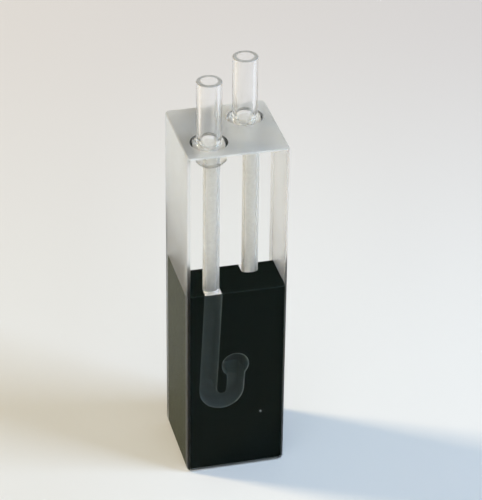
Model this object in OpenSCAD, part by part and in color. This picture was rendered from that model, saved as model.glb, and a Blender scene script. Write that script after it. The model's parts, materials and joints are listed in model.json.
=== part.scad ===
// Flow-through absorption cuvette: two polished windows fused onto a clear head
// and a black body, with a glass tube fused into each of its two ports.
// Origin: middle of the base. X runs across the windows, Y along the light path
// with the inlet side at -Y, and Z up. All sizes are in millimetres.

/* [Cell] */
// Outer width of the cell, across the windows
cell_w = 12.5; // [11:0.1:16]
// Height of the cell, without its tubes
cell_h = 45.8; // [38:0.1:60]
// Length of the light path, from window to window
path_len = 10; // [9:0.5:20]
// Thickness of each window
window_t = 1.25; // [0.8:0.05:2.5]
// Height of the black body, under the clear head
body_h = 26; // [21:0.5:34]
// Bevel along the four upright corners
corner_bevel = 0.3; // [0.1:0.05:0.7]
// Bevel round the top face
top_bevel = 0.15; // [0.05:0.05:0.6]
// Bevel round the base
base_bevel = 0.35; // [0.05:0.05:0.6]

/* [Light path] */
// Height of the beam's axis above the base
beam_z = 15.2; // [13.5:0.1:17]
// Diameter of the chamber that the beam crosses
beam_d = 3.3; // [2.6:0.1:5]

/* [Channels] */
// Diameter of the bores in the head, and width of the channels milled in the body
channel_d = 2.1; // [1.2:0.1:2.4]
// Radius of the inlet channel's bend, to the middle of the channel
bend_r = 1.74; // [1.4:0.02:2.2]
// Distance of the bend's centre from the middle of the cell, towards the inlet
bend_x = 1.74; // [1.2:0.02:2]
// Height of the bend's centre above the base
bend_z = 11.8; // [8:0.1:12]
// Distance past the middle at which the inlet channel enters the chamber
entry_x = 0.15; // [0:0.05:0.5]

/* [Tubes] */
// Outer diameter of each tube
tube_d = 3.1; // [2.5:0.1:3.8]
// Bore of each tube
tube_bore_d = 2.1; // [1.2:0.1:2.3]
// Length of tube that stands above the cell
tube_h = 8.2; // [4:0.1:20]
// Bevel on the cut end of each tube
tube_end_bevel = 0.06; // [0.02:0.01:0.15]

/* [Tube seats] */
// Diameter of the ball-bottomed seat that each tube is fused into
seat_d = 4.6; // [4:0.1:4.8]
// Straight wall of a seat, above its ball-shaped bottom
seat_wall_h = 0.4; // [0.1:0.1:2]
// Glass left between a seat and the window beside it
seat_to_window = 0.1; // [0.05:0.05:0.5]
// Glass left between a seat and the side of the cell beside it
seat_to_side = 1.1; // [0.6:0.1:1.6]

/* [Hidden] */

$fn = 96;

// How far a cutter runs past the face that it cuts
overcut = 0.5;
// Steps in which a channel's round floor and its bend are cut
floor_steps = 8;
bend_steps = 20;
// Steps in which a seat's round bottom and the glass round a tube are turned
ball_steps = 7;
fillet_steps = 7;

cell_d = path_len + 2 * window_t;
port_x = cell_w / 2 - seat_to_side - seat_d / 2;
port_y = path_len / 2 - seat_to_window - seat_d / 2;
seat_ball_z = cell_h - seat_wall_h;

// Depth at which the round floor of a channel has its centre, so that the
// floor runs on from the wall of the bore above it
channel_axis_depth = path_len / 2 - port_y;

// Points of the channels on their faces, as [x, z]
inlet_port = [-port_x, body_h];
outlet_port = [port_x, body_h];
chamber_centre = [0, beam_z];
chamber_entry = [entry_x, beam_z];
bend_centre = [-bend_x, bend_z];

// The inlet channel's straight stretches touch its bend without a corner
bend_start_angle = angle_of(inlet_port - bend_centre) + tangent_angle(inlet_port);
bend_end_angle = 360 + angle_of(chamber_entry - bend_centre) - tangent_angle(chamber_entry);
inlet_path = concat(
    [past(on_bend(bend_start_angle), inlet_port, channel_d)],
    [for (i = [0:bend_steps])
        on_bend(bend_start_angle + (bend_end_angle - bend_start_angle) * i / bend_steps)],
    [chamber_entry]
);
outlet_path = [past(chamber_centre, outlet_port, channel_d), chamber_centre];

// Outline of a channel's section, as [across, out of the face], with the centre
// of its round floor at the origin
channel_section = concat(
    [[channel_d / 2, channel_axis_depth + overcut]],
    [[-channel_d / 2, channel_axis_depth + overcut]],
    [for (i = [0:floor_steps])
        channel_d / 2 * [-cos(180 * i / floor_steps), -sin(180 * i / floor_steps)]]
);

// Round bottom of a seat, from the tube's bore out to the seat's wall, as
// [radius, height]
ball_start_angle = acos(tube_bore_d / seat_d);
seat_bottom = [
    for (i = [0:ball_steps])
        let (angle = ball_start_angle * (1 - i / ball_steps))
            [seat_d / 2 * cos(angle), seat_ball_z - seat_d / 2 * sin(angle)]
];

// Quarter round of fused glass, from the seat's rim in and up to the tube
fillet_r = (seat_d - tube_d) / 2;
fillet = [
    for (i = [0:fillet_steps])
        let (angle = 90 * i / fillet_steps)
            [seat_d / 2 - fillet_r * sin(angle), cell_h + fillet_r * (1 - cos(angle))]
];

function angle_of(v) = atan2(v[1], v[0]);

// Angle at the bend's centre between a point outside the bend and the place
// where a straight line from that point touches the bend
function tangent_angle(point) = acos(bend_r / norm(point - bend_centre));

function on_bend(angle) = bend_centre + bend_r * [cos(angle), sin(angle)];

function past(from, to, extra) = to + (to - from) * extra / norm(to - from);

function unit(v) = v / norm(v);

// Vector across a path at its point i, as long as the mitre there makes it
function mitre(path, i) =
    let (
        before = unit(path[max(i, 1)] - path[max(i, 1) - 1]),
        after = unit(path[min(i, len(path) - 2) + 1] - path[min(i, len(path) - 2)]),
        along = unit(before + after)
    )
    [along[1], -along[0]] / (along * after);

// Profile of a block w wide and h high whose corners are cut by bevels
module bevelled_profile(w, h, low_bevel, high_bevel) {
    polygon([
        [-w / 2 + low_bevel, 0],
        [w / 2 - low_bevel, 0],
        [w / 2, low_bevel],
        [w / 2, h - high_bevel],
        [w / 2 - high_bevel, h],
        [-w / 2 + high_bevel, h],
        [-w / 2, h - high_bevel],
        [-w / 2, low_bevel]
    ]);
}

// Ground outside of the finished cell, with all its bevels
module cell_form() {
    intersection() {
        linear_extrude(cell_h)
            translate([0, -cell_d / 2])
                bevelled_profile(cell_w, cell_d, corner_bevel, corner_bevel);
        rotate([90, 0, 0])
            linear_extrude(cell_d, center = true)
                bevelled_profile(cell_w, cell_h, base_bevel, top_bevel);
        rotate([90, 0, 90])
            linear_extrude(cell_w, center = true)
                bevelled_profile(cell_d, cell_h, base_bevel, top_bevel);
    }
}

// The part of the cell from y_low to y_high and from z_low to z_high
module cell_slice(y_low, y_high, z_low, z_high) {
    intersection() {
        cell_form();
        translate([-cell_w / 2, y_low, z_low])
            cube([cell_w, y_high - y_low, z_high - z_low]);
    }
}

// Bore through the head and the ball-bottomed seat above it, as a cutter
module port_cut() {
    ledge = channel_d == tube_bore_d ? [] : [[channel_d / 2, seat_bottom[0][1]]];
    rotate_extrude()
        polygon(concat(
            [[0, body_h - overcut], [channel_d / 2, body_h - overcut]],
            ledge,
            seat_bottom,
            [[seat_d / 2, cell_h + overcut], [0, cell_h + overcut]]
        ));
}

// Cutter that follows a path lying in a face's own plane: x across, y up the
// cell, and z out of the face. The stretches of the path meet in mitres.
module channel(path) {
    last = len(path) - 1;
    sides = len(channel_section);
    points = [
        for (i = [0:last], corner = channel_section)
            let (across = corner[0] * mitre(path, i))
                [path[i][0] + across[0], path[i][1] + across[1], corner[1] - channel_axis_depth]
    ];
    walls = [
        for (i = [0:last - 1], j = [0:sides - 1])
            let (next = (j + 1) % sides)
                [i * sides + j, i * sides + next, (i + 1) * sides + next, (i + 1) * sides + j]
    ];
    first_end = [for (j = [sides - 1:-1:0]) j];
    last_end = [for (j = [0:sides - 1]) last * sides + j];
    polyhedron(points, concat(walls, [first_end, last_end]));
}

// Hooked channel in the front: down from the inlet port, round the bend and up
// into the chamber from below
module inlet_channel() {
    translate([0, -path_len / 2, 0])
        rotate([90, 0, 0])
            channel(inlet_path);
}

// Straight channel in the back: from the chamber up to the outlet port
module outlet_channel() {
    mirror([0, 1, 0])
        translate([0, -path_len / 2, 0])
            rotate([90, 0, 0])
                channel(outlet_path);
}

// Chamber that the beam crosses from window to window
module beam_cut() {
    translate([0, path_len / 2 + overcut, beam_z])
        rotate([90, 0, 0])
            cylinder(d = beam_d, h = path_len + 2 * overcut);
}

// Tube with its fused foot, on its own axis
module flow_tube() {
    tube_top = cell_h + tube_h;
    rotate_extrude()
        polygon(concat(
            seat_bottom,
            fillet,
            [[tube_d / 2, tube_top - tube_end_bevel]],
            [[tube_d / 2 - tube_end_bevel, tube_top]],
            [[tube_bore_d / 2, tube_top]]
        ));
}

module front_window() {
    color([0.88, 0.91, 0.92, 0.35])
        cell_slice(-cell_d / 2, -path_len / 2, 0, cell_h);
}

module rear_window() {
    color([0.88, 0.91, 0.92, 0.35])
        cell_slice(path_len / 2, cell_d / 2, 0, cell_h);
}

module clear_head() {
    color([0.82, 0.84, 0.84, 0.5])
        difference() {
            cell_slice(-path_len / 2, path_len / 2, body_h, cell_h);
            translate([-port_x, -port_y, 0])
                port_cut();
            translate([port_x, port_y, 0])
                port_cut();
        }
}

module black_body() {
    color([0.07, 0.07, 0.07])
        difference() {
            cell_slice(-path_len / 2, path_len / 2, 0, body_h);
            beam_cut();
            inlet_channel();
            outlet_channel();
        }
}

module inlet_tube() {
    color([0.9, 0.92, 0.94, 0.4])
        translate([-port_x, -port_y, 0])
            flow_tube();
}

module outlet_tube() {
    color([0.9, 0.92, 0.94, 0.4])
        translate([port_x, port_y, 0])
            flow_tube();
}

front_window();
rear_window();
clear_head();
black_body();
inlet_tube();
outlet_tube();
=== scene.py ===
import json
import math

import bmesh
import bpy
from mathutils import Matrix, Vector


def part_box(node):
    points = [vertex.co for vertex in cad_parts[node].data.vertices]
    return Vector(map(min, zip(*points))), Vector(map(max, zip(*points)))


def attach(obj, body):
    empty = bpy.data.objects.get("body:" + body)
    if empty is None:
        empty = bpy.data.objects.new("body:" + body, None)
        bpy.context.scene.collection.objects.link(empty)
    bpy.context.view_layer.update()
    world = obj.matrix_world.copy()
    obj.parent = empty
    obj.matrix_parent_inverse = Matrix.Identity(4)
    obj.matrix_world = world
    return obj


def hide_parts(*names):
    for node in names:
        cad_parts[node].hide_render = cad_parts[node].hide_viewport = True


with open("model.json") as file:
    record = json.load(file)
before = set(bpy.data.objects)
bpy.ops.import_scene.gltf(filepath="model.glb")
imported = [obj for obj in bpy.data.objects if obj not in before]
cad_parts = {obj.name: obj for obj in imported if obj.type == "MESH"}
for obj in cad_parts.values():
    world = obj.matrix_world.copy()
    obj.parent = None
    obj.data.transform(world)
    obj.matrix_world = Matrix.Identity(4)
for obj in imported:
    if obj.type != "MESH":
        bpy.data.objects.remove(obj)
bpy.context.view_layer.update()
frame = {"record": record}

# Pieces are made in millimetres, like the solids, and brought down to metres
# when they are finished.
MM = 0.001

# ---------------------------------------------------------------- sizes


def box_mm(node):
    low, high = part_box(node)
    return low / MM, high / MM


front_low, front_high = box_mm("front_window")
rear_high = box_mm("rear_window")[1]
head_high = box_mm("clear_head")[1]
black_low, black_high = box_mm("black_body")
inlet_low, inlet_high = box_mm("inlet_tube")
mounts = {mount["name"]: mount for mount in frame["record"]["mounts"]}

TUBE_R = mounts["inlet_tube_outside"]["dims"]["r_mm"]
BORE_R = mounts["inlet_bore"]["dims"]["r_mm"]
INLET_PORT = Vector(mounts["inlet_bore"]["pos_m"]) / MM
OUTLET_PORT = Vector(mounts["outlet_bore"]["pos_m"]) / MM
CELL_TOP = head_high.z
TUBE_TOP = inlet_high.z
SEAT_R = (inlet_high.x - inlet_low.x) / 2
SEAT_LOW = inlet_low.z
SEAT_BALL_Z = SEAT_LOW + math.sqrt(SEAT_R ** 2 - BORE_R ** 2)

CORNER_BEVEL = 0.3
TOP_BEVEL = 0.15
BASE_BEVEL = 0.35
TUBE_END_BEVEL = 0.06

# Depth to which the flame fuses a seat clear. Below it the seat stays ground.
FUSED_DEPTH = 1.7

# Quarter round of fused glass, from the seat's rim up to the tube
FILLET_R = SEAT_R - TUBE_R

# Light path and channels in the black block
BEAM_Z = 15.2
CHAMBER_R = 1.65
BEND_R = 1.74
BEND_X = -1.74
BEND_Z = 11.8
ENTRY_X = 0.15

# Least glass between a channel and the side of the block
SIDE_WALL = 1.2

# Hair-thin broken edges of the black block, along the channels and at its top
CHANNEL_EDGE = 0.08
BLOCK_EDGE = 0.03

# Small hole left by a grain in the black glass, under the front window
PINHOLE = Vector((3.35, black_low.y, 7.6))
PINHOLE_R = 0.1

# How far bonded faces reach into each other, and how far a cutter runs on
BOND = 0.02
SKIN = 0.005
RUN_ON = 0.5

# How near two places are to count as one, and how far the small flats of a
# round face may lie off its true round
NEAR = 0.001
SLACK = 0.01

# How far a face's normal goes along an axis when the face lies flat across it,
# when it looks mostly along it, and when it is bevelled or only turned to it
FLAT = 0.99
MOSTLY = 0.5
BEVELLED = 0.3
TURNED = 0.1

ROUND_STEPS = 128
CHANNEL_STEPS = 64
FILLET_STEPS = 14
BALL_STEPS = 20
BEND_STEPS = 48

# Faces that meet at less than this many degrees are shaded as one round face
ROUND_ANGLE = 25

# ---------------------------------------------------------------- camera

CAMERA_PLACE = Vector((-61.797, -245.537, 185.929))
CAMERA_AZIMUTH = math.radians(-14.5534)
CAMERA_ELEVATION = math.radians(31.8292)
CAMERA_ROLL = math.radians(0.7696)
CAMERA_LENS = 173.405
CAMERA_SENSOR = 36


def place_camera():
    back = Vector((
        math.sin(CAMERA_AZIMUTH) * math.cos(CAMERA_ELEVATION),
        -math.cos(CAMERA_AZIMUTH) * math.cos(CAMERA_ELEVATION),
        math.sin(CAMERA_ELEVATION),
    ))
    level_right = Vector((0, 0, 1)).cross(back).normalized()
    level_up = back.cross(level_right)
    right = math.cos(CAMERA_ROLL) * level_right + math.sin(CAMERA_ROLL) * level_up
    up = math.cos(CAMERA_ROLL) * level_up - math.sin(CAMERA_ROLL) * level_right
    turn = Matrix((right, up, back)).transposed()
    data = bpy.data.cameras.new("camera")
    data.sensor_width = CAMERA_SENSOR
    data.lens = CAMERA_LENS
    camera = bpy.data.objects.new("camera", data)
    camera.matrix_world = Matrix.Translation(CAMERA_PLACE * MM) @ turn.to_4x4()
    bpy.context.scene.collection.objects.link(camera)
    bpy.context.scene.camera = camera


# ---------------------------------------------------------------- workshop


def put_all_down():
    bpy.ops.object.select_all(action="DESELECT")


def take(piece):
    put_all_down()
    piece.select_set(True)
    bpy.context.view_layer.objects.active = piece


def block(name, low, high):
    put_all_down()
    bpy.ops.mesh.primitive_cube_add(size=1, location=(low + high) / 2, scale=high - low)
    piece = bpy.context.object
    piece.name = name
    bpy.ops.object.transform_apply(location=True, rotation=True, scale=True)
    return piece


def pick_edges(piece, wanted):
    """Opens the piece for editing with the edges picked that are wanted."""
    bpy.ops.object.mode_set(mode="EDIT")
    bpy.ops.mesh.select_mode(type="EDGE")
    bpy.ops.mesh.select_all(action="DESELECT")
    work = bmesh.from_edit_mesh(piece.data)
    for edge in work.edges:
        if wanted(edge):
            edge.select_set(True)
    bmesh.update_edit_mesh(piece.data)


def bevel_edges(piece, wanted, width):
    take(piece)
    pick_edges(piece, wanted)
    bpy.ops.mesh.bevel(offset=width, offset_type="OFFSET", segments=1, affect="EDGES")
    bpy.ops.object.mode_set(mode="OBJECT")


def score(piece, point, across):
    """Marks a line round the piece, where pieces are bonded to each other."""
    take(piece)
    bpy.ops.object.mode_set(mode="EDIT")
    bpy.ops.mesh.select_all(action="SELECT")
    bpy.ops.mesh.bisect(plane_co=point, plane_no=across)
    bpy.ops.object.mode_set(mode="OBJECT")


def at_height(edge, z):
    return all(abs(corner.co.z - z) < NEAR for corner in edge.verts)


def on_face(edge, y):
    return all(abs(corner.co.y - y) < NEAR for corner in edge.verts)


def upright(edge):
    low, high = (corner.co for corner in edge.verts)
    return abs(low.x - high.x) < NEAR and abs(low.y - high.y) < NEAR


def cut(piece, cutter):
    take(piece)
    saw = piece.modifiers.new("cut", "BOOLEAN")
    saw.operation = "DIFFERENCE"
    saw.solver = "EXACT"
    saw.object = cutter
    bpy.ops.object.modifier_apply(modifier=saw.name)
    bpy.data.objects.remove(cutter)


def turned(name, axis, profile, ring):
    """A body turned on an upright axis from a profile of radius and height. The
    profile of a ring closes on itself, and the other kind ends in flat faces."""
    put_all_down()
    radius, height = profile[0]
    bpy.ops.mesh.primitive_circle_add(
        vertices=ROUND_STEPS,
        radius=radius,
        fill_type="NOTHING" if ring else "NGON",
        location=(axis.x, axis.y, height),
    )
    piece = bpy.context.object
    piece.name = name
    bpy.ops.object.transform_apply(location=True, rotation=True, scale=True)
    bpy.ops.object.mode_set(mode="EDIT")
    bpy.ops.mesh.select_all(action="SELECT")
    for next_radius, next_height in profile[1:]:
        bpy.ops.mesh.extrude_region_move(
            TRANSFORM_OT_translate={"value": (0, 0, next_height - height)}
        )
        bpy.ops.transform.resize(
            value=(next_radius / radius, next_radius / radius, 1),
            center_override=(axis.x, axis.y, next_height),
        )
        radius, height = next_radius, next_height
    if ring:
        pick_edges(piece, lambda edge: len(edge.link_faces) == 1)
        bpy.ops.mesh.bridge_edge_loops()
    bpy.ops.mesh.select_all(action="SELECT")
    bpy.ops.mesh.normals_make_consistent(inside=False)
    bpy.ops.object.mode_set(mode="OBJECT")
    return piece


def finish_piece(piece):
    """Smooths the round faces and brings the piece down to metres."""
    take(piece)
    bpy.ops.object.shade_smooth_by_angle(angle=math.radians(ROUND_ANGLE))
    piece.scale = (MM, MM, MM)
    bpy.ops.object.transform_apply(location=True, rotation=True, scale=True)


def ball_profile(radius, low_z, steps):
    """Quarter of the seat's ball, from its cut bottom up to its widest place."""
    start = math.asin((SEAT_BALL_Z - low_z) / radius)
    points = []
    for step in range(steps + 1):
        angle = -start * (1 - step / steps)
        points.append((radius * math.cos(angle), SEAT_BALL_Z + radius * math.sin(angle)))
    return points


# ---------------------------------------------------------------- clear cell


def make_clear_cell():
    """Both windows and the head as one block of fused glass, with the bores and
    seats cut into it. The slot for the black block reaches into that block."""
    low = Vector((front_low.x, front_low.y, 0))
    high = Vector((front_high.x, rear_high.y, CELL_TOP))
    cell = block("clear_cell", low, high)
    bevel_edges(cell, upright, CORNER_BEVEL)
    bevel_edges(cell, lambda edge: at_height(edge, CELL_TOP), TOP_BEVEL)
    bevel_edges(cell, lambda edge: at_height(edge, 0), BASE_BEVEL)
    score(cell, (0, black_low.y, 0), (0, 1, 0))
    score(cell, (0, black_high.y, 0), (0, 1, 0))
    score(cell, (0, 0, black_high.z), (0, 0, 1))
    slot_low = Vector((low.x - RUN_ON, black_low.y + BOND, -RUN_ON))
    slot_high = Vector((high.x + RUN_ON, black_high.y - BOND, black_high.z - BOND))
    cut(cell, block("slot_cutter", slot_low, slot_high))
    for port in (INLET_PORT, OUTLET_PORT):
        profile = [(BORE_R, black_high.z - RUN_ON)]
        profile += ball_profile(SEAT_R, SEAT_LOW, BALL_STEPS)
        profile += [(SEAT_R, CELL_TOP + RUN_ON)]
        cut(cell, turned("seat_cutter", port, profile, False))
    finish_piece(cell)
    return cell


# ---------------------------------------------------------------- tubes


def make_tube(name, port):
    """A tube with its fused foot, which reaches a hair's breadth into the seat."""
    profile = ball_profile(SEAT_R + SKIN, SEAT_LOW, BALL_STEPS)
    profile.append((SEAT_R + SKIN, CELL_TOP - SKIN))
    for step in range(FILLET_STEPS + 1):
        angle = math.pi / 2 * step / FILLET_STEPS
        radius = SEAT_R - FILLET_R * math.sin(angle)
        height = CELL_TOP + FILLET_R * (1 - math.cos(angle))
        profile.append((radius, height))
    profile.append((TUBE_R, TUBE_TOP - TUBE_END_BEVEL))
    profile.append((TUBE_R - TUBE_END_BEVEL, TUBE_TOP))
    profile.append((BORE_R, TUBE_TOP))
    profile.append((BORE_R, CELL_TOP))
    tube = turned(name, port, profile, True)
    finish_piece(tube)
    return tube


# ---------------------------------------------------------------- black block


def channel_cutter(name, start, first_end, side):
    """A bar of the channel's section, round at its floor, from its start to the
    end of its first straight stretch. Side is -1 at the front and 1 at the back."""
    face_y = side * black_high.y
    floor_y = side * abs(INLET_PORT.y)
    along = first_end - start
    put_all_down()
    bpy.ops.mesh.primitive_circle_add(
        vertices=CHANNEL_STEPS, radius=BORE_R, fill_type="NGON", location=(0, 0, 0)
    )
    bar = bpy.context.object
    bar.name = name
    bpy.ops.object.mode_set(mode="EDIT")
    bpy.ops.mesh.select_all(action="SELECT")
    bpy.ops.mesh.bisect(
        plane_co=(0, 0, 0),
        plane_no=(0, side, 0),
        clear_outer=True,
    )
    pick_edges(bar, lambda edge: on_face(edge, 0))
    bpy.ops.mesh.extrude_region_move(
        TRANSFORM_OT_translate={"value": (0, face_y - floor_y + side * RUN_ON, 0)}
    )
    bpy.ops.object.mode_set(mode="OBJECT")
    bar.rotation_euler = (0, math.atan2(along.x, along.z), 0)
    bar.location = (start.x, floor_y, start.z)
    bpy.ops.object.transform_apply(location=True, rotation=True, scale=True)
    bpy.ops.object.mode_set(mode="EDIT")
    bpy.ops.mesh.select_mode(type="FACE")
    bpy.ops.mesh.select_all(action="SELECT")
    bpy.ops.mesh.extrude_region_move(TRANSFORM_OT_translate={"value": along})
    return bar


def close_cutter(bar):
    bpy.ops.mesh.select_all(action="SELECT")
    bpy.ops.mesh.remove_doubles(threshold=NEAR / 10)
    bpy.ops.mesh.normals_make_consistent(inside=False)
    bpy.ops.object.mode_set(mode="OBJECT")
    return bar


def tangent_angle(point):
    centre = Vector((BEND_X, 0, BEND_Z))
    return math.acos(BEND_R / (point - centre).length)


def angle_from_bend(point):
    return math.atan2(point.z - BEND_Z, point.x - BEND_X)


def on_bend(angle):
    return Vector((BEND_X + BEND_R * math.cos(angle), 0, BEND_Z + BEND_R * math.sin(angle)))


def past(end, start, extra):
    return end + (end - start).normalized() * extra


def inlet_cutter():
    port = Vector((INLET_PORT.x, 0, black_high.z))
    entry = Vector((ENTRY_X, 0, BEAM_Z))
    start_angle = angle_from_bend(port) + tangent_angle(port)
    end_angle = 2 * math.pi + angle_from_bend(entry) - tangent_angle(entry)
    touch = on_bend(start_angle)
    bar = channel_cutter("inlet_cutter", past(port, touch, 2 * BORE_R), touch, -1)
    bpy.ops.mesh.spin(
        steps=BEND_STEPS,
        angle=end_angle - start_angle,
        center=(BEND_X, 0, BEND_Z),
        axis=(0, 1, 0),
    )
    leave = on_bend(end_angle)
    bpy.ops.mesh.extrude_region_move(TRANSFORM_OT_translate={"value": entry - leave})
    return close_cutter(bar)


def outlet_cutter():
    port = Vector((OUTLET_PORT.x, 0, black_high.z))
    centre = Vector((0, 0, BEAM_Z))
    bar = channel_cutter("outlet_cutter", past(port, centre, 2 * BORE_R), centre, 1)
    return close_cutter(bar)


def chamber_cutter():
    put_all_down()
    bpy.ops.mesh.primitive_cylinder_add(
        vertices=ROUND_STEPS,
        radius=CHAMBER_R,
        depth=black_high.y - black_low.y + 2 * RUN_ON,
        location=(0, 0, BEAM_Z),
        rotation=(math.pi / 2, 0, 0),
    )
    cutter = bpy.context.object
    cutter.name = "chamber_cutter"
    bpy.ops.object.transform_apply(location=True, rotation=True, scale=True)
    return cutter


def on_face_rim(edge):
    """Edges where the channels and the chamber meet the front or the back face."""
    if not on_face(edge, black_low.y) and not on_face(edge, black_high.y):
        return False
    if any(abs(corner.co.x) > black_high.x - SIDE_WALL for corner in edge.verts):
        return False
    flat = [abs(face.normal.y) > FLAT for face in edge.link_faces]
    return flat.count(True) == 1


def on_top_front(edge):
    """Stretches of the block's upper front edge, on both sides of the channel."""
    return at_height(edge, black_high.z) and on_face(edge, black_low.y)


def pinhole_cutter():
    put_all_down()
    bpy.ops.mesh.primitive_ico_sphere_add(subdivisions=2, radius=PINHOLE_R, location=PINHOLE)
    cutter = bpy.context.object
    cutter.name = "pinhole_cutter"
    bpy.ops.object.transform_apply(location=True, rotation=True, scale=True)
    return cutter


def crosswise(edge):
    first, last = (corner.co for corner in edge.verts)
    return abs(first.y - last.y) < NEAR


def make_black_block():
    inset = Vector((SKIN, 0, 0))
    low = black_low + inset + Vector((0, 0, SKIN))
    high = black_high - inset
    body = block("black_block", low, high)
    bevel_edges(
        body,
        lambda edge: at_height(edge, low.z) and not crosswise(edge),
        BASE_BEVEL,
    )
    cut(body, chamber_cutter())
    cut(body, inlet_cutter())
    cut(body, outlet_cutter())
    bevel_edges(body, on_face_rim, CHANNEL_EDGE)
    bevel_edges(body, on_top_front, BLOCK_EDGE)
    cut(body, pinhole_cutter())
    finish_piece(body)
    return body


# ---------------------------------------------------------------- finishes

# A fused joint bends no light, because the glass is the same on both sides
QUARTZ_IOR = 1.459
TUBE_IOR = 1.47
FUSED_IOR = 1.0

# A texture is its grains and clouds per metre, and the height of its grains in
# metres
FAINT_CLOUDS = (900, 120, 0.0)
TUBE_CLOUDS = (900, 200, 0.0)
FINE_GRIND = (9000, 350, 0.000006)
SMOOTHED_GRIND = (9000, 500, 0.000001)
BROKEN_EDGE = (3000, 900, 0.00001)

# Noise keeps mostly between these two values, so they give a range its ends
NOISE_LOW = 0.3
NOISE_HIGH = 0.7

# A ground face's roughness goes this far to both sides of its middle value
ROUGH_SPREAD = 0.05


def number_socket(group, name, in_out, default=0.0):
    socket = group.interface.new_socket(name, in_out=in_out, socket_type="NodeSocketFloat")
    if in_out == "INPUT":
        socket.default_value = default
    return socket


def make_grain_group():
    """Fine grain of a ground or drilled surface, with broader clouds over it."""
    group = bpy.data.node_groups.new("ground_grain", "ShaderNodeTree")
    number_socket(group, "Grain per Metre", "INPUT", 6000.0)
    number_socket(group, "Clouds per Metre", "INPUT", 300.0)
    number_socket(group, "Height", "INPUT", 0.00001)
    number_socket(group, "Grain", "OUTPUT")
    number_socket(group, "Clouds", "OUTPUT")
    group.interface.new_socket("Normal", in_out="OUTPUT", socket_type="NodeSocketVector")
    nodes = group.nodes
    links = group.links
    given = nodes.new("NodeGroupInput")
    made = nodes.new("NodeGroupOutput")
    place = nodes.new("ShaderNodeTexCoord")
    grain = nodes.new("ShaderNodeTexNoise")
    grain.inputs["Detail"].default_value = 3
    grain.inputs["Roughness"].default_value = 0.6
    clouds = nodes.new("ShaderNodeTexNoise")
    clouds.inputs["Detail"].default_value = 4
    clouds.inputs["Roughness"].default_value = 0.55
    bump = nodes.new("ShaderNodeBump")
    bump.inputs["Strength"].default_value = 1.0
    links.new(place.outputs["Object"], grain.inputs["Vector"])
    links.new(place.outputs["Object"], clouds.inputs["Vector"])
    links.new(given.outputs["Grain per Metre"], grain.inputs["Scale"])
    links.new(given.outputs["Clouds per Metre"], clouds.inputs["Scale"])
    links.new(given.outputs["Height"], bump.inputs["Distance"])
    links.new(grain.outputs["Fac"], bump.inputs["Height"])
    links.new(grain.outputs["Fac"], made.inputs["Grain"])
    links.new(clouds.outputs["Fac"], made.inputs["Clouds"])
    links.new(bump.outputs["Normal"], made.inputs["Normal"])
    return group


def new_finish(name):
    material = bpy.data.materials.new(name)
    material.use_nodes = True
    return material, material.node_tree.nodes["Principled BSDF"]


def add_grain(material, grain_per_metre, clouds_per_metre, height):
    grain = material.node_tree.nodes.new("ShaderNodeGroup")
    grain.node_tree = GRAIN
    grain.inputs["Grain per Metre"].default_value = grain_per_metre
    grain.inputs["Clouds per Metre"].default_value = clouds_per_metre
    grain.inputs["Height"].default_value = height
    return grain


def spread(material, value, low, high, target):
    """Feeds noise to a socket, brought into the given range."""
    remap = material.node_tree.nodes.new("ShaderNodeMapRange")
    remap.inputs["From Min"].default_value = NOISE_LOW
    remap.inputs["From Max"].default_value = NOISE_HIGH
    remap.inputs["To Min"].default_value = low
    remap.inputs["To Max"].default_value = high
    material.node_tree.links.new(value, remap.inputs["Value"])
    material.node_tree.links.new(remap.outputs["Result"], target)


def blend_colours(material, value, low, high, target):
    """Feeds a colour to a socket, between two colours as the noise goes."""
    ramp = material.node_tree.nodes.new("ShaderNodeValToRGB")
    ramp.color_ramp.elements[0].position = NOISE_LOW
    ramp.color_ramp.elements[0].color = (*low, 1)
    ramp.color_ramp.elements[1].position = NOISE_HIGH
    ramp.color_ramp.elements[1].color = (*high, 1)
    material.node_tree.links.new(value, ramp.inputs["Fac"])
    material.node_tree.links.new(ramp.outputs["Color"], target)


def roughen(material, shader, grain, rough):
    """Lets the grain vary the roughness and tilt the surface."""
    spread(
        material,
        grain.outputs["Grain"],
        rough - ROUGH_SPREAD,
        rough + ROUGH_SPREAD,
        shader.inputs["Roughness"],
    )
    material.node_tree.links.new(grain.outputs["Normal"], shader.inputs["Normal"])


def clear_glass(shader, ior):
    shader.inputs["Transmission Weight"].default_value = 1.0
    shader.inputs["IOR"].default_value = ior


def polished_quartz():
    material, shader = new_finish("polished_quartz")
    clear_glass(shader, QUARTZ_IOR)
    shader.inputs["Specular Tint"].default_value = (0.1, 0.14, 0.12, 1)
    shader.inputs["Base Color"].default_value = (0.988, 0.994, 0.99, 1)
    grain = add_grain(material, *FAINT_CLOUDS)
    spread(material, grain.outputs["Clouds"], 0.0, 0.02, shader.inputs["Roughness"])
    return material


def fused_joint():
    """Where the flame has made one glass of the seat and the foot, so that light
    passes as if no face were there."""
    material, shader = new_finish("fused_joint")
    clear_glass(shader, FUSED_IOR)
    shader.inputs["Base Color"].default_value = (0.995, 1.0, 0.997, 1)
    grain = add_grain(material, *FAINT_CLOUDS)
    spread(material, grain.outputs["Clouds"], 0.0, 0.01, shader.inputs["Roughness"])
    return material


def chamfered_quartz():
    """Half-polished glass of the narrow bevels along the corners."""
    material, shader = new_finish("chamfered_quartz")
    clear_glass(shader, QUARTZ_IOR)
    shader.inputs["Specular Tint"].default_value = (0.3, 0.32, 0.3, 1)
    grain = add_grain(material, *SMOOTHED_GRIND)
    blend_colours(
        material,
        grain.outputs["Clouds"],
        (0.84, 0.845, 0.83),
        (0.92, 0.925, 0.91),
        shader.inputs["Base Color"],
    )
    roughen(material, shader, grain, 0.35)
    return material


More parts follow.
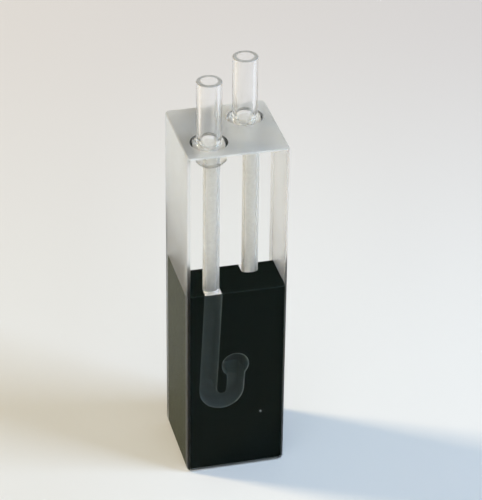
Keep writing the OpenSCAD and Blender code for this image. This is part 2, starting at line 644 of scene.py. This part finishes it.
def ground_glass(name, dark, light, clearness, rough, texture):
    """Glass with a ground face: part of the light passes, and the rest is spread."""
    material, shader = new_finish(name)
    clear_glass(shader, QUARTZ_IOR)
    shader.inputs["Transmission Weight"].default_value = clearness
    grain = add_grain(material, *texture)
    blend_colours(material, grain.outputs["Clouds"], dark, light, shader.inputs["Base Color"])
    roughen(material, shader, grain, rough)
    return material


def tube_glass():
    material, shader = new_finish("tube_glass")
    clear_glass(shader, TUBE_IOR)
    shader.inputs["Base Color"].default_value = (1.0, 1.0, 1.0, 1)
    grain = add_grain(material, *TUBE_CLOUDS)
    spread(material, grain.outputs["Clouds"], 0.09, 0.16, shader.inputs["Roughness"])
    return material


def black_glass(name, dark, light, shine, rough, texture):
    """Opaque black glass, mottled half by its grain and half by its clouds."""
    material, shader = new_finish(name)
    shader.inputs["Specular IOR Level"].default_value = shine
    grain = add_grain(material, *texture)
    half_clouds = material.node_tree.nodes.new("ShaderNodeMath")
    half_clouds.operation = "MULTIPLY"
    half_clouds.inputs[1].default_value = 0.5
    mottle = material.node_tree.nodes.new("ShaderNodeMath")
    mottle.operation = "MULTIPLY_ADD"
    mottle.inputs[1].default_value = 0.5
    material.node_tree.links.new(grain.outputs["Clouds"], half_clouds.inputs[0])
    material.node_tree.links.new(grain.outputs["Grain"], mottle.inputs[0])
    material.node_tree.links.new(half_clouds.outputs[0], mottle.inputs[2])
    blend_colours(material, mottle.outputs[0], dark, light, shader.inputs["Base Color"])
    roughen(material, shader, grain, rough)
    return material


def paint_faces(piece, finishes, choose):
    """Gives the piece its finishes, and each face the one that choose() names."""
    names = list(finishes)
    for name in names:
        piece.data.materials.append(finishes[name])
    for face in piece.data.polygons:
        face.material_index = names.index(choose(face.center / MM, face.normal))


def from_port(centre):
    return min(
        math.hypot(centre.x - port.x, centre.y - port.y)
        for port in (INLET_PORT, OUTLET_PORT)
    )


def in_bore(centre):
    return from_port(centre) < BORE_R + SLACK


def choose_cell_finish(centre, normal):
    if in_bore(centre) and centre.z < SEAT_LOW + NEAR:
        return "bore"
    if from_port(centre) < SEAT_R + SLACK and centre.z < CELL_TOP - NEAR:
        return "seat" if centre.z < CELL_TOP - FUSED_DEPTH else "fused"
    head_underside = normal.z < -FLAT and centre.z > BASE_BEVEL
    if abs(normal.y) > FLAT or head_underside:
        return "polished"
    if abs(normal.x) > TURNED and abs(normal.y) > TURNED:
        return "corner"
    if centre.z < BASE_BEVEL:
        return "ground"
    if abs(centre.y) > black_high.y:
        # The window plates' top and edge faces take lighter copies of the ground finish:
        # painted light for the light that the plates carry in from their polished faces.
        return "window_top" if normal.z > MOSTLY else "window_edge"
    # The right side takes a clearer, lighter copy of the ground finish: painted light where
    # the fill lamp at the right shines through it.
    return "side" if normal.x > MOSTLY else "ground"


def choose_tube_finish(centre, normal):
    if centre.z > TUBE_TOP - TUBE_END_BEVEL and normal.z > BEVELLED:
        return "cut"
    if in_bore(centre) and centre.z < CELL_TOP:
        return "bore"
    foot_skin = from_port(centre) > TUBE_R
    if foot_skin and CELL_TOP - FUSED_DEPTH < centre.z < CELL_TOP - SKIN / 2:
        return "fused"
    if foot_skin and CELL_TOP - SKIN < centre.z < CELL_TOP + FILLET_R:
        return "foot"
    return "polished"


def choose_rim_finish(centre, normal):
    """Edges of the channels and the chamber are lighter on the faces that look down, under
    the top of the chamber, and on the faces that look left, on the right of the hook."""
    if normal.z < -2 * TURNED and centre.z > BEAM_Z:
        return "paler_under_top"
    if normal.x < -2 * TURNED and centre.x > 0:
        return "paler_hook_right"
    return "rim"


def choose_black_finish(centre, normal):
    top_front_edge = normal.y < -BEVELLED and normal.z > BEVELLED
    if top_front_edge and centre.z > black_high.z - BLOCK_EDGE:
        return "bored"
    if (centre - PINHOLE).length < PINHOLE_R + SLACK:
        return "pinhole"
    if abs(centre.y) > black_high.y - NEAR or centre.z > black_high.z - NEAR:
        return "bonded"
    if centre.z < BASE_BEVEL:
        return "milled"
    if abs(centre.x) > black_high.x - SLACK:
        return "ground"
    if abs(centre.y) > black_high.y - CHANNEL_EDGE and BEVELLED < abs(normal.y) < FLAT:
        return choose_rim_finish(centre, normal)
    if abs(math.hypot(centre.x, centre.z - BEAM_Z) - CHAMBER_R) < SLACK:
        return "bored"
    rising_stretch = centre.y < 0 and centre.x > BEND_X and centre.z > BEND_Z
    return "bored" if rising_stretch else "milled"


# ---------------------------------------------------------------- studio

# Tint of the floor from left to right, near the cell and far behind it, as distances from the
# cell in metres and colours there. Left and right are turned by FLOOR_TURN against the cell's
# own sides. Over the pale colour the stops carry painted light and shade. Bright stretches 60
# to 100 mm to the left and 60 to 90 mm to the right are painted light, which the tubes show
# as their bright stripes. The dark stops at -0.040 and -0.022 are a painted shadow just left
# of the cell. The darker middle of the far row is painted shade for the lamps' falloff behind
# the cell.
FLOOR_TURN = math.radians(14.55)
FLOOR_REACH = 0.25
FLOOR_NEAR_LIGHT_AND_SHADE = (
    (-0.170, (0.83, 0.80, 0.75)),
    (-0.100, (0.94, 0.885, 0.815)),
    (-0.060, (0.89, 0.84, 0.775)),
    (-0.040, (0.80, 0.78, 0.74)),
    (-0.022, (0.80, 0.785, 0.755)),
    (0.004, (0.872, 0.878, 0.872)),
    (0.025, (0.84, 0.847, 0.85)),
    (0.040, (0.85, 0.86, 0.87)),
    (0.060, (0.925, 0.93, 0.945)),
    (0.090, (0.91, 0.895, 0.90)),
    (0.150, (0.82, 0.79, 0.78)),
)
FLOOR_FAR_LIGHT_AND_SHADE = (
    (-0.170, (0.83, 0.80, 0.75)),
    (-0.080, (0.92, 0.87, 0.80)),
    (-0.045, (0.735, 0.687, 0.649)),
    (0.045, (0.685, 0.652, 0.645)),
    (0.080, (0.89, 0.885, 0.90)),
    (0.150, (0.82, 0.79, 0.78)),
)
FLOOR_FADE = (0.0, 0.14)
FLOOR_SIZE = 6
FLOOR_DROP = 0.00001

# Light from all round, and the backdrop that the camera and the glass see
AMBIENT = (0.285, 0.312, 0.30)
BACKDROP = (0.72, 0.71, 0.70)

# Name, azimuth and elevation in degrees, distance and size in metres, power in
# watts, and colour. All lamps look at the middle of the cell.
LAMP_AIM = Vector((0, 0, 0.02))
LAMPS = (
    ("warm_key", 151, 38, 2.0, 0.28, 23.8, (1.0, 0.785, 0.50)),
    ("cool_fill", -27, 36, 2.0, 0.833, 29.8, (0.583, 0.738, 1.0)),
    ("front_fill", -104, 55, 2.0, 1.6, 7.7, (0.86, 0.95, 1.0)),
)


def paint_floor_light_across(nodes, links, across, light_and_shade_stops):
    """Colours, painted light and shade among them, that blend into each other from the left
    of the floor to the right.
    """
    ramp = nodes.new("ShaderNodeValToRGB")
    stops = ramp.color_ramp.elements
    while len(stops) < len(light_and_shade_stops):
        stops.new(0.5)
    for stop, (distance, colour) in zip(stops, light_and_shade_stops):
        stop.position = 0.5 + distance / FLOOR_REACH / 2
        stop.color = (*colour, 1)
    links.new(across, ramp.inputs["Fac"])
    return ramp.outputs["Color"]


# The floor's pale colour, with the painted light and shade of the stops above.
def pale_floor_with_painted_light():
    material, shader = new_finish("pale_floor_with_painted_light")
    shader.inputs["Roughness"].default_value = 0.9
    shader.inputs["Specular IOR Level"].default_value = 0.0
    nodes = material.node_tree.nodes
    links = material.node_tree.links
    place = nodes.new("ShaderNodeTexCoord")
    turn = nodes.new("ShaderNodeMapping")
    turn.inputs["Rotation"].default_value = (0, 0, FLOOR_TURN)
    parts = nodes.new("ShaderNodeSeparateXYZ")
    links.new(place.outputs["Object"], turn.inputs["Vector"])
    links.new(turn.outputs["Vector"], parts.inputs["Vector"])
    across = nodes.new("ShaderNodeMapRange")
    across.inputs["From Min"].default_value = -FLOOR_REACH
    across.inputs["From Max"].default_value = FLOOR_REACH
    links.new(parts.outputs["X"], across.inputs["Value"])
    fade = nodes.new("ShaderNodeMapRange")
    fade.interpolation_type = "SMOOTHSTEP"
    fade.inputs["From Min"].default_value = FLOOR_FADE[0]
    fade.inputs["From Max"].default_value = FLOOR_FADE[1]
    links.new(parts.outputs["Y"], fade.inputs["Value"])
    blend = nodes.new("ShaderNodeMix")
    blend.data_type = "RGBA"
    links.new(fade.outputs["Result"], blend.inputs["Factor"])
    near = paint_floor_light_across(nodes, links, across.outputs["Result"], FLOOR_NEAR_LIGHT_AND_SHADE)
    far = paint_floor_light_across(nodes, links, across.outputs["Result"], FLOOR_FAR_LIGHT_AND_SHADE)
    links.new(near, blend.inputs["A"])
    links.new(far, blend.inputs["B"])
    links.new(blend.outputs["Result"], shader.inputs["Base Color"])
    return material


def make_floor():
    put_all_down()
    bpy.ops.mesh.primitive_plane_add(size=FLOOR_SIZE, location=(0, 0, -FLOOR_DROP))
    floor = bpy.context.object
    floor.name = "floor"
    bpy.ops.object.transform_apply(location=True, rotation=True, scale=True)
    floor.data.materials.append(pale_floor_with_painted_light())


def light_the_world():
    world = bpy.data.worlds.new("studio")
    bpy.context.scene.world = world
    world.use_nodes = True
    nodes = world.node_tree.nodes
    links = world.node_tree.links
    nodes.clear()
    shown = nodes.new("ShaderNodeBackground")
    shown.inputs["Color"].default_value = (*BACKDROP, 1)
    ambient = nodes.new("ShaderNodeBackground")
    ambient.inputs["Color"].default_value = (*AMBIENT, 1)
    path = nodes.new("ShaderNodeLightPath")
    seen = nodes.new("ShaderNodeMath")
    seen.operation = "MAXIMUM"
    seen_through = nodes.new("ShaderNodeMath")
    seen_through.operation = "MAXIMUM"
    either = nodes.new("ShaderNodeMixShader")
    out = nodes.new("ShaderNodeOutputWorld")
    links.new(path.outputs["Is Camera Ray"], seen.inputs[0])
    links.new(path.outputs["Is Glossy Ray"], seen.inputs[1])
    links.new(seen.outputs[0], seen_through.inputs[0])
    links.new(path.outputs["Is Transmission Ray"], seen_through.inputs[1])
    links.new(seen_through.outputs[0], either.inputs["Fac"])
    links.new(ambient.outputs[0], either.inputs[1])
    links.new(shown.outputs[0], either.inputs[2])
    links.new(either.outputs[0], out.inputs["Surface"])


def hang_lamp(name, azimuth, elevation, distance, size, power, colour):
    """A square soft lamp."""
    azimuth = math.radians(azimuth)
    elevation = math.radians(elevation)
    away = Vector((
        math.cos(azimuth) * math.cos(elevation),
        math.sin(azimuth) * math.cos(elevation),
        math.sin(elevation),
    ))
    data = bpy.data.lights.new(name, "AREA")
    data.shape = "SQUARE"
    data.size = size
    data.energy = power
    data.color = colour
    lamp = bpy.data.objects.new(name, data)
    lamp.location = LAMP_AIM + away * distance
    lamp.rotation_euler = away.to_track_quat("Z", "Y").to_euler()
    bpy.context.scene.collection.objects.link(lamp)


# ---------------------------------------------------------------- putting it together

GRAIN = make_grain_group()

place_camera()
make_floor()
light_the_world()
for lamp in LAMPS:
    hang_lamp(*lamp)

clear_cell = make_clear_cell()
inlet_tube_glass = make_tube("inlet_tube_glass", INLET_PORT)
outlet_tube_glass = make_tube("outlet_tube_glass", OUTLET_PORT)
black_block = make_black_block()

POLISHED = polished_quartz()
FUSED = fused_joint()
GROUND_SEAT = ground_glass(
    "ground_seat",
    dark=(0.97, 0.955, 0.905),
    light=(1.0, 0.995, 0.96),
    clearness=0.67,
    rough=0.47,
    texture=(5000, 1500, 0.00003),
)
CELL_FINISHES = {
    "polished": POLISHED,
    "seat": GROUND_SEAT,
    "fused": FUSED,
    "bore": ground_glass(
        "ground_bore",
        dark=(0.84, 0.83, 0.785),
        light=(1.0, 0.99, 0.935),
        clearness=0.6,
        rough=0.55,
        texture=(7000, 2600, 0.000008),
    ),
    "ground": ground_glass(
        "ground_quartz",
        dark=(0.925, 0.94, 0.92),
        light=(0.985, 1.0, 0.98),
        clearness=0.86,
        rough=0.55,
        texture=FINE_GRIND,
    ),
    # Lighter copy of the ground finish on the windows' top faces: painted light carried in
    # through the window plates.
    "window_top": ground_glass(
        "ground_window_top_painted_lighter",
        dark=(0.94, 0.95, 0.93),
        light=(0.99, 1.0, 0.98),
        clearness=0.74,
        rough=0.55,
        texture=FINE_GRIND,
    ),
    # Clearer copy of the ground finish for the right side, so that it reads lighter: painted
    # light from the fill lamp at the right.
    "side": ground_glass(
        "ground_side_painted_lighter",
        dark=(0.93, 0.955, 0.925),
        light=(0.975, 1.0, 0.97),
        clearness=0.96,
        rough=0.5,
        texture=FINE_GRIND,
    ),
    "corner": chamfered_quartz(),
    # Clearer copy of the ground finish on the windows' edge faces: painted light carried in
    # through the window plates.
    "window_edge": ground_glass(
        "ground_window_edge_painted_lighter",
        dark=(0.95, 0.965, 0.95),
        light=(0.99, 1.0, 0.99),
        clearness=0.96,
        rough=0.5,
        texture=(9000, 500, 0.000004),
    ),
}
TUBE_FINISHES = {
    "polished": tube_glass(),
    "foot": POLISHED,
    "fused": FUSED,
    "bore": GROUND_SEAT,
    "cut": ground_glass(
        "cut_tube_end",
        dark=(0.42, 0.41, 0.38),
        light=(0.66, 0.66, 0.63),
        clearness=0.4,
        rough=0.55,
        texture=(12000, 900, 0.000005),
    ),
}
BLACK_FINISHES = {
    "bonded": black_glass(
        "bonded_black",
        dark=(0.0012, 0.0032, 0.0022),
        light=(0.0026, 0.0050, 0.0036),
        shine=0.0,
        rough=0.5,
        texture=(2000, 200, 0.0),
    ),
    "ground": black_glass(
        "ground_black",
        dark=(0.008, 0.012, 0.002),
        light=(0.044, 0.052, 0.020),
        shine=0.20,
        rough=0.5,
        texture=(3000, 900, 0.00008),
    ),
    "milled": black_glass(
        "milled_black",
        dark=(0.060, 0.083, 0.087),
        light=(0.092, 0.116, 0.122),
        shine=0.1,
        rough=0.6,
        texture=(7000, 400, 0.00001),
    ),
    "bored": black_glass(
        "bored_black",
        dark=(0.026, 0.046, 0.046),
        light=(0.040, 0.068, 0.068),
        shine=0.3,
        rough=0.5,
        texture=(9000, 300, 0.000003),
    ),
    # Lighter colour on the rim faces that look down, under the top of the chamber.
    "paler_under_top": black_glass(
        "paler_under_top_black",
        dark=(0.34, 0.41, 0.38),
        light=(0.68, 0.76, 0.71),
        shine=0.3,
        rough=0.5,
        texture=BROKEN_EDGE,
    ),
    # The pit's near-white colour is a painted glint, for the light caught in the small pit.
    "pinhole": black_glass(
        "pinhole_painted_glint",
        dark=(0.80, 0.86, 0.83),
        light=(0.95, 1.0, 0.98),
        shine=0.3,
        rough=0.5,
        texture=BROKEN_EDGE,
    ),
    # Lighter colour on the rim faces that look left, on the right of the hook.
    "paler_hook_right": black_glass(
        "paler_hook_right_black",
        dark=(0.17, 0.20, 0.19),
        light=(0.36, 0.40, 0.38),
        shine=0.3,
        rough=0.5,
        texture=BROKEN_EDGE,
    ),
    "rim": black_glass(
        "channel_rim",
        dark=(0.06, 0.075, 0.07),
        light=(0.165, 0.195, 0.188),
        shine=0.3,
        rough=0.5,
        texture=BROKEN_EDGE,
    ),
}
paint_faces(clear_cell, CELL_FINISHES, choose_cell_finish)
paint_faces(inlet_tube_glass, TUBE_FINISHES, choose_tube_finish)
paint_faces(outlet_tube_glass, TUBE_FINISHES, choose_tube_finish)
paint_faces(black_block, BLACK_FINISHES, choose_black_finish)

for piece, slot in (
    (clear_cell, "clear_quartz"),
    (inlet_tube_glass, "tube_quartz"),
    (outlet_tube_glass, "tube_quartz"),
    (black_block, "black_quartz"),
):
    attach(piece, "root")
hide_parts("front_window", "rear_window", "clear_head")
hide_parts("inlet_tube")
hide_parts("outlet_tube")
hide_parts("black_body")

bpy.context.scene.view_settings.view_transform = "Standard"
